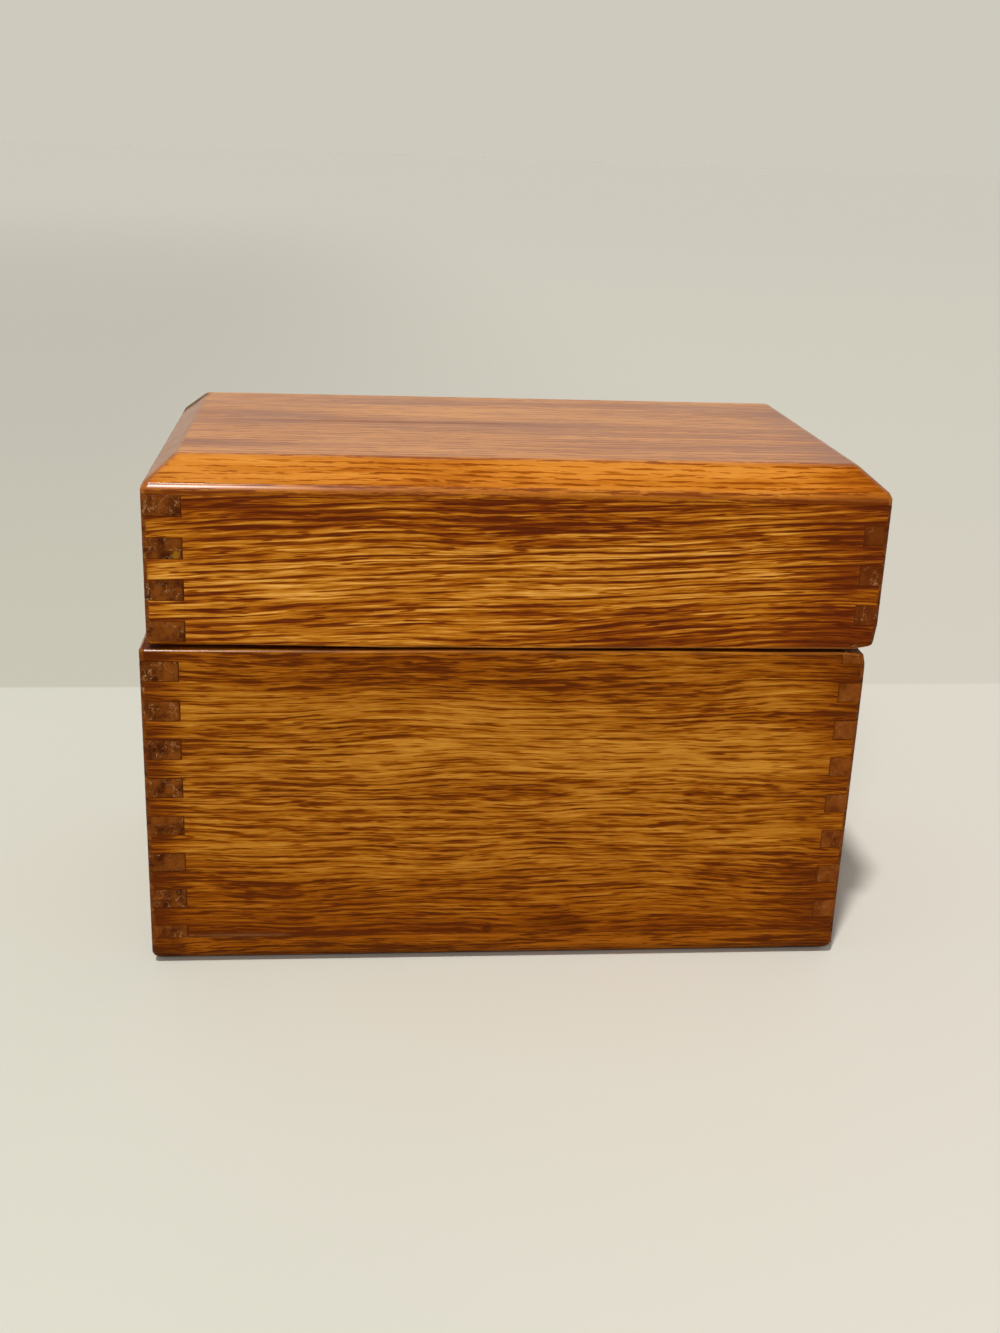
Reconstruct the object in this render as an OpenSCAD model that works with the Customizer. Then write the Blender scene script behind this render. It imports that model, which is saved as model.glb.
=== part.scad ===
// Recipe card box: a finger-jointed oak case with a hinged lid, for 5 x 3 inch cards.
// The four walls are joined as one tall box between a bottom board and a bevelled top
// board, and that box is then sawn apart along the seam, so one row of fingers runs
// through base and lid. Two butt hinges are let into the back edges of the seam.
// Millimetres. Origin at the centre of the underside, +Z up, -Y to the front.

/* [Box] */
// Width across the front
box_w = 152.4; // [120:0.1:240]
// Depth from front to back
box_d = 86.7; // [60:0.1:180]
// Height of the base's walls above the bottom board
base_wall_h = 66.2; // [40:0.1:140]
// Height of the lid's walls under the top board
lid_wall_h = 31.4; // [20:0.1:80]
// Open gap between base and lid when closed
seam_gap = 0.7; // [0.4:0.05:1]
// How far the lid is hung to the right of the base
lid_shift = 1.6; // [0:0.1:2.5]

/* [Boards] */
// Thickness of the front wall
front_t = 7.9; // [5:0.1:12]
// Thickness of the back wall, which takes the hinge leaves
back_t = 7.9; // [7:0.1:12]
// Thickness of the left end wall
left_t = 7.9; // [5:0.1:12]
// Thickness of the right end wall
right_t = 5.4; // [4:0.1:12]
// Thickness of the bottom board
bottom_t = 6.4; // [4:0.1:12]
// Thickness of the top board
top_t = 7.1; // [6.5:0.1:14]

/* [Finger joints] */
// Height of one finger
finger_h = 4.33; // [3:0.01:10]
// Glue line between neighbouring faces
glue_line = 0.04; // [0.02:0.01:0.1]

/* [Edges] */
// Width of the top board's bevel, seen from above
bevel_w = 6.4; // [3:0.1:12]
// Drop of the top board's bevel
bevel_drop = 5.3; // [2:0.1:6]
// Radius of the arris between the flat of the top board and its bevel
crown_r = 1; // [0.3:0.1:3]
// Radius of the arris between the bevel and the edge of the top board
shoulder_r = 2; // [0.3:0.1:2.5]
// Radius of the four upright corners
corner_r = 1.2; // [0.4:0.1:3]
// Radius of the bottom board's lower arris at the two ends, where the grain is cut across
foot_end_r = 3; // [0.5:0.1:3.5]
// Radius of the bottom board's lower arris at the front and back
foot_long_r = 1; // [0.5:0.1:3.5]

/* [Hinges] */
// Length of a hinge along the box
hinge_w = 25.4; // [18:0.1:32]
// Distance from an end of the box to the middle of its hinge
hinge_inset = 30.2; // [28:0.1:40]
// Depth of a leaf over the wall
leaf_d = 6; // [5:0.1:6.6]
// Thickness of a leaf
leaf_t = 0.9; // [0.7:0.05:1.1]
// Radius of the barrel
barrel_r = 1.8; // [1.5:0.1:2.6]
// Radius of the pin
pin_r = 0.85; // [0.6:0.05:1.1]
// Running clearance round the pin
pin_fit = 0.05; // [0.02:0.01:0.1]
// Number of knuckles on a hinge
knuckles = 3; // [3:2:5]
// Gap between two knuckles
knuckle_gap = 0.3; // [0.2:0.05:0.5]
// Clearance between the barrel and the back of the box
barrel_gap = 0.3; // [0.3:0.05:0.8]
// Clearance round a leaf in its mortise
mortise_fit = 0.15; // [0.05:0.05:0.3]

/* [Screws] */
// Distance between the two screws of a leaf
screw_spread = 15; // [9:0.5:20]
// Radius of a screw's shank
screw_r = 1; // [0.8:0.05:1.2]
// Height of a screw's countersunk head
head_h = 0.75; // [0.4:0.05:0.85]
// Length of a screw
screw_l = 9.5; // [6:0.5:14]
// Length of a screw's point
point_l = 2.5; // [1:0.1:4]
// Width of the slot in a head
slot_w = 0.5; // [0.3:0.05:0.8]
// Depth of the slot in a head
slot_d = 0.35; // [0.2:0.05:0.5]
// Clearance round a screw
screw_fit = 0.03; // [0.02:0.01:0.06]

/* [Hidden] */
$fn = 48;

// Heights of the seam, of the lid's lower edge, of the top board and of the whole box
seam_z = bottom_t + base_wall_h;
lid_z = seam_z + seam_gap;
wall_top = lid_z + lid_wall_h;
box_h = wall_top + top_t;

// Inner faces of the four walls
left_x = left_t - box_w / 2;
right_x = box_w / 2 - right_t;
front_y = front_t - box_d / 2;
back_y = box_d / 2 - back_t;

// Rows of fingers, counted down from the top board
row_count = ceil((wall_top - bottom_t) / finger_h);

// Hinge axis, behind the back face and level with the middle of the seam
barrel_out = barrel_gap + barrel_r;
axis_y = box_d / 2 + barrel_out;
axis_z = seam_z + seam_gap / 2;
knuckle_pitch = (hinge_w + knuckle_gap) / knuckles;
head_r = screw_r + head_h;

// Steps in each eased arris, and the overlap that lets joined blocks merge
arris_steps = 6;
merge = 1;

// How the screw slots happen to stand
slot_angle = 50;
slot_turn = 35;

// Colours
oak = [0.62, 0.36, 0.12];
oak_end = [0.42, 0.22, 0.09];
oak_top = [0.80, 0.54, 0.34];
brass = [0.78, 0.63, 0.32];
brass_worn = [0.62, 0.50, 0.26];

// Points that ease the corner b of the path a, b, c with an arc of radius r
function eased(a, b, c, r) =
    let (
        u = (a - b) / norm(a - b),
        v = (c - b) / norm(c - b),
        half = acos(u * v) / 2,
        centre = b + (u + v) / norm(u + v) * r / sin(half),
        start = b + u * r / tan(half) - centre,
        finish = b + v * r / tan(half) - centre,
        sweep = 180 - 2 * half
    )
    [
        for (i = [0 : arris_steps])
            let (s = sweep * i / arris_steps)
            centre + (start * sin(sweep - s) + finish * sin(s)) / sin(sweep)
    ];

// Section of the top board, reach being half its width or half its depth
function top_section(reach) =
    let (
        low_l = [-reach, wall_top],
        low_r = [reach, wall_top],
        side_r = [reach, box_h - bevel_drop],
        flat_r = [reach - bevel_w, box_h],
        flat_l = [bevel_w - reach, box_h],
        side_l = [-reach, box_h - bevel_drop]
    )
    concat(
        [low_l, low_r],
        eased(low_r, side_r, flat_r, shoulder_r),
        eased(side_r, flat_r, flat_l, crown_r),
        eased(flat_r, flat_l, side_l, crown_r),
        eased(flat_l, side_l, low_l, shoulder_r)
    );

// Section of the bottom board, its lower arrises eased by radius r
function bottom_section(reach, r) =
    let (
        high_l = [-reach, bottom_t],
        high_r = [reach, bottom_t],
        low_l = [-reach, 0],
        low_r = [reach, 0]
    )
    concat(
        [high_r, high_l],
        eased(high_l, low_l, low_r, r),
        eased(low_l, low_r, high_r, r)
    );

// Outline of the box from above, with its upright corners rounded
module outline() {
    square([box_w - 2 * corner_r, box_d], center = true);
    square([box_w, box_d - 2 * corner_r], center = true);
    for (x = [-1, 1], y = [-1, 1])
        translate([x * (box_w / 2 - corner_r), y * (box_d / 2 - corner_r)])
            circle(corner_r);
}

// A prism of the outline between two heights
module between(z_low, z_high) {
    translate([0, 0, z_low])
        linear_extrude(z_high - z_low)
            outline();
}

// A full-size board whose section is the same across the width and the depth
module full_board(across, along) {
    intersection() {
        rotate([90, 0, 0])
            linear_extrude(2 * box_d, center = true)
                polygon(across);
        rotate([90, 0, 90])
            linear_extrude(2 * box_w, center = true)
                polygon(along);
        between(-merge, box_h + merge);
    }
}

// A block of wall from below the bottom board to above the top board
module wall_block(x_low, x_high, y_low, y_high) {
    translate([x_low, y_low, 0])
        cube([x_high - x_low, y_high - y_low, box_h]);
}

// Every second row of fingers in one corner, from the first row or the next
module finger_rows(first, x_low, x_high, y_low, y_high) {
    for (row = [first : 2 : row_count - 1])
        translate([x_low, y_low, wall_top - (row + 1) * finger_h + glue_line / 2])
            cube([x_high - x_low, y_high - y_low, finger_h - glue_line]);
}

// Front or back wall before sawing: its left fingers start one row down, its right
// fingers at the top
module long_wall(y_low, y_high) {
    wall_block(left_x, right_x, y_low, y_high);
    finger_rows(1, -box_w / 2, left_x + merge, y_low, y_high);
    finger_rows(0, right_x - merge, box_w / 2, y_low, y_high);
}

// Left or right end wall before sawing, its fingers in the rows the long walls leave
module end_wall(first, x_low, x_high, finger_low, finger_high) {
    wall_block(x_low, x_high, front_y + glue_line, back_y - glue_line);
    finger_rows(first, finger_low, finger_high, -box_d / 2, front_y + merge);
    finger_rows(first, finger_low, finger_high, back_y - merge, box_d / 2);
}

module front_wall() {
    long_wall(-box_d / 2, front_y);
}

module back_wall() {
    long_wall(back_y, box_d / 2);
}

module left_wall() {
    end_wall(0, -box_w / 2, left_x, -box_w / 2, left_x - glue_line);
}

module right_wall() {
    end_wall(1, right_x, box_w / 2, right_x + glue_line, box_w / 2);
}

// The part of a wall that stays with the base after sawing
module base_half() {
    intersection() {
        children();
        between(bottom_t + glue_line, seam_z);
    }
}

// The part of a wall that goes with the lid
module lid_half() {
    translate([lid_shift, 0, 0])
        intersection() {
            children();
            between(lid_z, wall_top - glue_line);
        }
}

// Places its children on the hinge axis, side -1 being the left hinge and 1 the right
module at_hinge(side) {
    translate([side * (box_w / 2 - hinge_inset), axis_y, axis_z])
        children();
}

// The lid's half of a hinge mirrors the base's half in the seam
module lid_side() {
    mirror([0, 0, 1])
        children();
}

// Places its children at one of a base leaf's screws, side -1 or 1, on the leaf's upper face
module at_screw(side) {
    translate([side * screw_spread / 2, -barrel_out - leaf_d / 2, -seam_gap / 2])
        children();
}

// Countersunk holes below a leaf's face, for its screws and their pilots
module screw_holes() {
    for (side = [-1, 1])
        at_screw(side) {
            translate([0, 0, -screw_l - 2 * screw_r])
                cylinder(r = screw_r + screw_fit, h = screw_l + 2 * screw_r);
            translate([0, 0, -head_h])
                cylinder(r1 = screw_r + screw_fit, r2 = head_r + screw_fit, h = head_h);
            cylinder(r = head_r + screw_fit, h = seam_gap);
        }
}

// Countersunk screw with its head flush at the origin and a slot turned by angle
module screw(angle) {
    difference() {
        union() {
            translate([0, 0, -head_h])
                cylinder(r1 = screw_r, r2 = head_r, h = head_h);
            translate([0, 0, point_l - screw_l])
                cylinder(r = screw_r, h = screw_l - point_l);
            translate([0, 0, -screw_l])
                cylinder(r1 = screw_r / 5, r2 = screw_r, h = point_l);
        }
        rotate([0, 0, angle])
            translate([-2 * head_r, -slot_w / 2, -slot_d])
                cube([4 * head_r, slot_w, 2 * slot_d]);
    }
}

// The two screws of a leaf, their slots left at different angles
module screws() {
    for (side = [-1, 1])
        at_screw(side)
            screw(slot_angle + slot_turn * side);
}

// Base leaf of a hinge with every second knuckle, from the first one or the next.
// The pin's axis is the X axis.
module leaf(first) {
    difference() {
        union() {
            translate([-hinge_w / 2, -barrel_out - leaf_d, -seam_gap / 2 - leaf_t])
                cube([hinge_w, leaf_d, leaf_t]);
            for (i = [first : 2 : knuckles - 1])
                translate([i * knuckle_pitch - hinge_w / 2, 0, 0])
                    knuckle(knuckle_pitch - knuckle_gap);
        }
        translate([-hinge_w, 0, 0])
            rotate([0, 90, 0])
                cylinder(r = pin_r + pin_fit, h = 2 * hinge_w);
        screw_holes();
    }
}

// One knuckle of length w with the strap that joins it to its leaf
module knuckle(w) {
    rotate([0, 90, 0])
        cylinder(r = barrel_r, h = w);
    translate([0, -barrel_out - merge, -seam_gap / 2 - leaf_t])
        cube([w, barrel_out + merge, leaf_t]);
}

// Room for a base leaf and its screws in the top edge of the base's back wall
module mortise() {
    translate([-hinge_w / 2 - mortise_fit, -barrel_out - leaf_d - mortise_fit, -seam_gap / 2 - leaf_t])
        cube([hinge_w + 2 * mortise_fit, barrel_out + leaf_d, leaf_t + seam_gap]);
    screw_holes();
}

// The pin of a hinge
module pin() {
    translate([-hinge_w / 2, 0, 0])
        rotate([0, 90, 0])
            cylinder(r = pin_r, h = hinge_w);
}

// Base

module base_front() {
    color(oak)
        base_half()
            front_wall();
}

module base_back() {
    color(oak)
        difference() {
            base_half()
                back_wall();
            for (side = [-1, 1])
                at_hinge(side)
                    mortise();
        }
}

module base_left() {
    color(oak_end)
        base_half()
            left_wall();
}

module base_right() {
    color(oak_end)
        base_half()
            right_wall();
}

module base_bottom() {
    color(oak)
        full_board(bottom_section(box_w / 2, foot_end_r), bottom_section(box_d / 2, foot_long_r));
}

// Lid

module lid_front() {
    color(oak)
        lid_half()
            front_wall();
}

module lid_back() {
    color(oak)
        difference() {
            lid_half()
                back_wall();
            for (side = [-1, 1])
                at_hinge(side)
                    lid_side()
                        mortise();
        }
}

module lid_left() {
    color(oak_end)
        lid_half()
            left_wall();
}

module lid_right() {
    color(oak_end)
        lid_half()
            right_wall();
}

module lid_top() {
    color(oak_top)
        translate([lid_shift, 0, 0])
            full_board(top_section(box_w / 2), top_section(box_d / 2));
}

// Hinges

module base_leaf(side) {
    color(brass)
        at_hinge(side)
            leaf(0);
}

module lid_leaf(side) {
    color(brass)
        at_hinge(side)
            lid_side()
                leaf(1);
}

module hinge_pin(side) {
    color(brass_worn)
        at_hinge(side)
            pin();
}

module base_screws(side) {
    color(brass_worn)
        at_hinge(side)
            screws();
}

module lid_screws(side) {
    color(brass_worn)
        at_hinge(side)
            lid_side()
                screws();
}

base_front();
base_back();
base_left();
base_right();
base_bottom();
lid_front();
lid_back();
lid_left();
lid_right();
lid_top();
base_leaf(-1);  // left_hinge_base_leaf
lid_leaf(-1);  // left_hinge_lid_leaf
hinge_pin(-1);  // left_hinge_pin
base_screws(-1);  // left_hinge_base_screws
lid_screws(-1);  // left_hinge_lid_screws
base_leaf(1);  // right_hinge_base_leaf
lid_leaf(1);  // right_hinge_lid_leaf
hinge_pin(1);  // right_hinge_pin
base_screws(1);  // right_hinge_base_screws
lid_screws(1);  // right_hinge_lid_screws
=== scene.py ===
# %% [markdown]
# # An oak recipe card box
#
# The object is a small varnished oak box for recipe cards: a deep base and a
# shallow lid, finger jointed at all four corners, with a bevelled top board. It was
# glued up whole and then sawn apart along the seam, so one row of fingers runs
# through both halves. Two brass butt hinges at the back carry the lid.
#
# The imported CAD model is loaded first. It is the frame that everything below is
# fitted to. All lengths are metres, the front looks along -Y and up is +Z.

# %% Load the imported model
import math

import bmesh
import bpy
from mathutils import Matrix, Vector


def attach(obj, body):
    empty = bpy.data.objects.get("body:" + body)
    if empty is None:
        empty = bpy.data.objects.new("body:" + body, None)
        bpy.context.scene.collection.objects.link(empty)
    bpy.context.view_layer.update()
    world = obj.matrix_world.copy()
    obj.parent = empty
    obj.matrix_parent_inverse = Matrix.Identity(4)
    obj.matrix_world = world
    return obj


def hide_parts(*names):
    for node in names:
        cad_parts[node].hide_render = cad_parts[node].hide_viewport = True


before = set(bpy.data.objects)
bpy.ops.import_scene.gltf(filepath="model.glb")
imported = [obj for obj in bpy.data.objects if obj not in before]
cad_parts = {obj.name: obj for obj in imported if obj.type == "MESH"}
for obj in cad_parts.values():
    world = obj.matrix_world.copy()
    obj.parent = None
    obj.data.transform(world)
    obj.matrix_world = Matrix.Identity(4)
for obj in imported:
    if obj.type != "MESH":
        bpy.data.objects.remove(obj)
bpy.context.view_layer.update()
MM = 0.001

# %% [markdown]
# ## The camera
#
# The photograph looks down on the lid a little, from a little to the left of the
# middle. The camera's place, its tilt and its lens were worked out from the straight
# edges of the box, so that every edge of the model falls on the same edge of the
# photograph. The sensor and the lens are in millimetres, the tilt is in degrees.

# %% Camera
view_data = bpy.data.cameras.new("photo_view")
view_data.sensor_width = 36
view_data.lens = 40.99
view_data.clip_start = 0.01
view_data.clip_end = 50
view = bpy.data.objects.new("photo_view", view_data)
view.location = (-0.03346, -0.33975, 0.17449)
view.rotation_euler = [math.radians(turn) for turn in (70.5412, -2.0719, -5.2676)]
bpy.context.scene.collection.objects.link(view)
bpy.context.scene.camera = view
print("camera at", [round(c, 4) for c in view.location])

# %% [markdown]
# ## Writing materials by hand
#
# Every finish below is a small tree of shader nodes. These helpers keep such a tree
# readable. Each one adds a node, feeds it and gives back its output, so a material
# reads like a sum. Colours are written as the 0 to 255 values that a picture shows
# and are turned into the linear values that the renderer works with.


# %% Colours and links
def paint(red, green, blue):
    """A colour of a picture, 0 to 255, as the renderer's linear values."""

    def linear(level):
        share = level / 255
        return share / 12.92 if share <= 0.04045 else ((share + 0.055) / 1.055) ** 2.4

    return (linear(red), linear(green), linear(blue), 1)


def feed(tree, socket, value):
    """Links another node's output to the socket, or sets the socket's own value."""
    if isinstance(value, bpy.types.NodeSocket):
        tree.links.new(value, socket)
    elif value is not None:
        socket.default_value = value


print("a tone of 128 is", round(paint(128, 128, 128)[0], 3), "in linear light")


# %% Nodes that work with numbers
def maths(tree, operation, first, second=None):
    node = tree.nodes.new("ShaderNodeMath")
    node.operation = operation
    feed(tree, node.inputs[0], first)
    feed(tree, node.inputs[1], second)
    return node.outputs[0]


def times(tree, first, second):
    return maths(tree, "MULTIPLY", first, second)


def add_up(tree, terms):
    """The sum of value times weight over all the terms."""
    total = 0.0
    for value, weight in terms:
        node = tree.nodes.new("ShaderNodeMath")
        node.operation = "MULTIPLY_ADD"
        feed(tree, node.inputs[0], value)
        feed(tree, node.inputs[1], weight)
        feed(tree, node.inputs[2], total)
        total = node.outputs[0]
    return total


def rise(tree, value, low, high, bottom=0.0, top=1.0):
    """Goes smoothly from bottom to top while value goes from low to high."""
    node = tree.nodes.new("ShaderNodeMapRange")
    node.interpolation_type = "SMOOTHSTEP"
    feed(tree, node.inputs["Value"], value)
    node.inputs["From Min"].default_value = low
    node.inputs["From Max"].default_value = high
    node.inputs["To Min"].default_value = bottom
    node.inputs["To Max"].default_value = top
    return node.outputs["Result"]


print("number nodes ready")


# %% Nodes that work with places
def object_place(tree):
    """The point's place on the object, in metres."""
    return tree.nodes.new("ShaderNodeTexCoord").outputs["Object"]


def stretch(tree, vector, scale, shift=(0, 0, 0), turn=(0, 0, 0)):
    node = tree.nodes.new("ShaderNodeMapping")
    feed(tree, node.inputs["Vector"], vector)
    node.inputs["Scale"].default_value = scale
    node.inputs["Location"].default_value = shift
    node.inputs["Rotation"].default_value = [math.radians(t) for t in turn]
    return node.outputs[0]


def split(tree, vector):
    """The X, the Y and the Z of a place."""
    node = tree.nodes.new("ShaderNodeSeparateXYZ")
    feed(tree, node.inputs[0], vector)
    return list(node.outputs)


def how_far(tree, vector):
    """The distance from the origin, which a stretch may have moved."""
    node = tree.nodes.new("ShaderNodeVectorMath")
    node.operation = "LENGTH"
    feed(tree, node.inputs[0], vector)
    return node.outputs["Value"]


def noise(tree, vector, detail=2.0, roughness=0.5, scale=1.0):
    node = tree.nodes.new("ShaderNodeTexNoise")
    feed(tree, node.inputs["Vector"], vector)
    node.inputs["Scale"].default_value = scale
    node.inputs["Detail"].default_value = detail
    node.inputs["Roughness"].default_value = roughness
    return node.outputs["Fac"]


def note(tree, name):
    """Reads a number that was stored on the faces of the piece."""
    node = tree.nodes.new("ShaderNodeAttribute")
    node.attribute_name = name
    return node.outputs["Fac"]


print("place nodes ready")


# %% Nodes that work with colour and relief
def mix(tree, share, first, second):
    node = tree.nodes.new("ShaderNodeMix")
    node.data_type = "RGBA"
    feed(tree, node.inputs[0], share)
    feed(tree, node.inputs[6], first)
    feed(tree, node.inputs[7], second)
    return node.outputs[2]


def ramp(tree, value, stops):
    """A colour for each place on the way from 0 to 1: stops are (place, colour)."""
    node = tree.nodes.new("ShaderNodeValToRGB")
    feed(tree, node.inputs[0], value)
    band = node.color_ramp
    while len(band.elements) < len(stops):
        band.elements.new(0.5)
    for element, (place, colour) in zip(band.elements, stops):
        element.position = place
        element.color = colour
    return node.outputs["Color"]


def relief(tree, height, distance, over=None):
    """Small hills and dents, laid over an earlier relief where one is given."""
    node = tree.nodes.new("ShaderNodeBump")
    node.inputs["Distance"].default_value = distance
    feed(tree, node.inputs["Height"], height)
    feed(tree, node.inputs["Normal"], over)
    return node.outputs[0]


def new_finish(name, fixed):
    """A new material; the fixed values go straight onto the shader's own sockets."""
    material = bpy.data.materials.new(name)
    material.use_nodes = True
    shader = material.node_tree.nodes["Principled BSDF"]
    for socket, value in fixed.items():
        shader.inputs[socket].default_value = value
    return material, material.node_tree, shader


print("colour nodes ready")

# %% [markdown]
# ## The floor
#
# The box stands on a pale floor, and a little way behind it the tone changes, as
# where a backdrop starts. A backdrop that really stood there would hide the box from
# behind, so a single floor carries both tones. Beyond a line it is a little darker,
# above all at the left, and far away it becomes the tone of the sky, so that no
# horizon shows behind the box. The line lies a hair off square to the box.

# %% Floor
far_line, line_turn, line_half = 0.1325, -1, 0.0012
bpy.ops.mesh.primitive_plane_add(size=12, location=(0, 4, 0))
table = bpy.context.object
bpy.ops.object.transform_apply(location=True, rotation=False, scale=False)
table.name = "table"
finish, tree, shader = new_finish("pale_table", {"Roughness": 0.75})
place = object_place(tree)
across, away = split(tree, stretch(tree, place, (1, 1, 1), turn=(0, 0, line_turn)))[:2]
near_tone = mix(tree, noise(tree, place, 3, scale=9), paint(209, 208, 195), paint(214, 213, 201))
near_tone = mix(tree, rise(tree, across, -0.1, 0.12), near_tone, paint(217, 213, 202))
low_backdrop = mix(tree, rise(tree, across, -0.1, 0.15), paint(196, 193, 178), paint(208, 204, 192))
high_backdrop = mix(tree, rise(tree, across, -0.2, 0.25), paint(192, 190, 179), paint(208, 205, 193))
far_tone = mix(tree, rise(tree, away, 0.13, 0.6), low_backdrop, high_backdrop)
far_tone = mix(tree, rise(tree, away, 0.9, 3.2), far_tone, paint(206, 203, 193))
behind = rise(tree, away, far_line - line_half, far_line + line_half)
feed(tree, shader.inputs["Base Color"], mix(tree, behind, near_tone, far_tone))
table.data.materials.append(finish)
print("the floor's tone changes", far_line / MM, "mm behind the middle of the box")

# %% [markdown]
# ## The light
#
# An even pale sky lights the box from all sides. Varnish shows what it faces, and in
# the photograph its top shines while its front stays deep. So what a reflection sees
# of the sky is bright at the back and darker at the front. The camera itself sees the
# pale tone on every side.
#
# One large lamp above, in front and to the left throws the short shadow at the right
# of the box. A small lamp lights little, but its reflection glints on the rounded
# edges.

# %% Sky
sky_light = 0.33
world = bpy.data.worlds.new("room")
bpy.context.scene.world = world
world.use_nodes = True
tree = world.node_tree
for node in list(tree.nodes):
    tree.nodes.remove(node)
paths = tree.nodes.new("ShaderNodeLightPath")
seen = maths(tree, "MAXIMUM", paths.outputs["Is Camera Ray"], paths.outputs["Is Glossy Ray"])
seen = maths(tree, "MAXIMUM", seen, paths.outputs["Is Transmission Ray"])
lighting = tree.nodes.new("ShaderNodeBackground")
lighting.inputs["Color"].default_value = (1.0, 0.99, 0.97, 1)
lighting.inputs["Strength"].default_value = sky_light
backdrop = tree.nodes.new("ShaderNodeBackground")
backward = split(tree, tree.nodes.new("ShaderNodeTexCoord").outputs["Generated"])[1]
bright_side = maths(tree, "MAXIMUM", rise(tree, backward, -0.1, 0.4), paths.outputs["Is Camera Ray"])
feed(tree, backdrop.inputs["Color"], mix(tree, bright_side, paint(92, 88, 80), paint(206, 202, 190)))
either = tree.nodes.new("ShaderNodeMixShader")
feed(tree, either.inputs[0], seen)
feed(tree, either.inputs[1], lighting.outputs[0])
feed(tree, either.inputs[2], backdrop.outputs[0])
output = tree.nodes.new("ShaderNodeOutputWorld")
feed(tree, output.inputs[0], either.outputs[0])
bpy.context.scene.view_settings.view_transform = "Standard"
print("the sky lights the box with", sky_light)


# %% Lamps
def hang(name, kind, energy, location, toward):
    """A lamp at a place that looks at a point; of a sun only the direction counts."""
    data = bpy.data.lights.new(name, kind)
    data.energy = energy
    lamp = bpy.data.objects.new(name, data)
    lamp.location = location
    lamp.rotation_euler = (Vector(location) - Vector(toward)).to_track_quat("Z", "Y").to_euler()
    bpy.context.scene.collection.objects.link(lamp)
    print(name, "shines with", energy)
    return data


room_lamp = hang("room_lamp", "SUN", 2.31, (-0.185, -0.355, 0.917), (0, 0, 0))
room_lamp.angle = math.radians(4)
room_lamp.color = (1, 0.985, 0.96)
small_lamp = hang("small_lamp", "AREA", 1.4, (-0.17, -0.70, 0.61), (0, 0, 0.1))
small_lamp.shape = "DISK"
small_lamp.size = 0.1

# %% [markdown]
# ## Sizes of the boards
#
# The boards follow the CAD solids, so these are the same values: the box, its walls
# at the left, right, front and back, the heights of the seam and the lid's rim, the
# bevel, and the fingers with their glue line. Rows of fingers are counted down from
# the top board. At the left, the end wall shows its end grain in the even rows, and
# at the right in the odd rows. The radii round the upright corners, the rims at the
# seam, and the foot with its two ends. The lid is hung a little to the right, and its
# rim rises at the left.

# %% Sizes
box_w, box_d = 152.4 * MM, 86.7 * MM
left_t, right_t, front_t, back_t = 7.9 * MM, 5.4 * MM, 7.9 * MM, 7.9 * MM
bottom_t, seam_z, lid_z = 6.4 * MM, 72.6 * MM, 73.3 * MM
wall_top, box_h = 104.7 * MM, 111.8 * MM
bevel_w, bevel_drop = 6.4 * MM, 5.3 * MM
finger_h, glue = 4.33 * MM, 0.04 * MM
corner_r, rim_r = 1.2 * MM, 0.5 * MM
foot_r, foot_end_r = 1.1 * MM, 2.9 * MM
lid_shift, left_rise = 1.6 * MM, 0.42 * MM
half_w, half_d = box_w / 2, box_d / 2
left_x, right_x = left_t - half_w, half_w - right_t
front_y, back_y = front_t - half_d, half_d - back_t
row_count = math.ceil((wall_top - bottom_t) / finger_h)
room = (right_x - left_x, back_y - front_y)
print("inner room in mm:", [round(side / MM, 1) for side in room])

# %% [markdown]
# ## Tools for the bench
#
# A board starts as a block at its size and place. It is then shaped in edit mode:
# faces and edges are chosen in code by where they are, and operators cut, pull and
# round them. All else is deselected first, because an operator acts on everything
# that is selected.


# %% On and off the bench
def pick(piece):
    """Makes the piece the only selected one and the active one."""
    bpy.ops.object.select_all(action="DESELECT")
    piece.select_set(True)
    bpy.context.view_layer.objects.active = piece


def on_bench(piece):
    """Picks the piece and opens it in edit mode."""
    pick(piece)
    bpy.ops.object.mode_set(mode="EDIT")


def off_bench():
    bpy.ops.object.mode_set(mode="OBJECT")


def saw_block(name, low, high):
    """A block between two opposite corners."""
    bpy.ops.object.select_all(action="DESELECT")
    middle = [(a + b) / 2 for a, b in zip(low, high)]
    size = [b - a for a, b in zip(low, high)]
    bpy.ops.mesh.primitive_cube_add(size=1, location=middle, scale=size)
    bpy.ops.object.transform_apply(location=True, rotation=False, scale=True)
    block = bpy.context.object
    block.name = block.data.name = name
    return block


print("the bench is ready")


# %% Choosing and cutting
TINY = 0.002 * MM


def choose(kind, test):
    """Selects the faces, edges or corners that pass a test, and says how many."""
    bpy.ops.mesh.select_mode(type=kind)
    bpy.ops.mesh.select_all(action="DESELECT")
    mesh = bpy.context.object.data
    work = bmesh.from_edit_mesh(mesh)
    parts = {"FACE": work.faces, "EDGE": work.edges, "VERT": work.verts}[kind]
    chosen = [part for part in parts if test(part)]
    for part in chosen:
        part.select_set(True)
    bmesh.update_edit_mesh(mesh)
    return len(chosen)


def saw(point, normal):
    """Cuts the faces along a plane, without parting the piece."""
    bpy.ops.mesh.select_mode(type="FACE")
    bpy.ops.mesh.select_all(action="SELECT")
    bpy.ops.mesh.bisect(plane_co=point, plane_no=normal, threshold=TINY)


def near(first, second):
    """Are two lengths the same, to a hundredth of a millimetre?"""
    return abs(first - second) < 0.01 * MM


def flush():
    """Dissolves the saw lines that are left on flat faces."""
    bpy.ops.mesh.select_all(action="SELECT")
    bpy.ops.mesh.dissolve_limited(angle_limit=math.radians(0.5))


def ends(edge):
    return edge.verts[0].co, edge.verts[1].co


print("saw and pencil ready")


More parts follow.
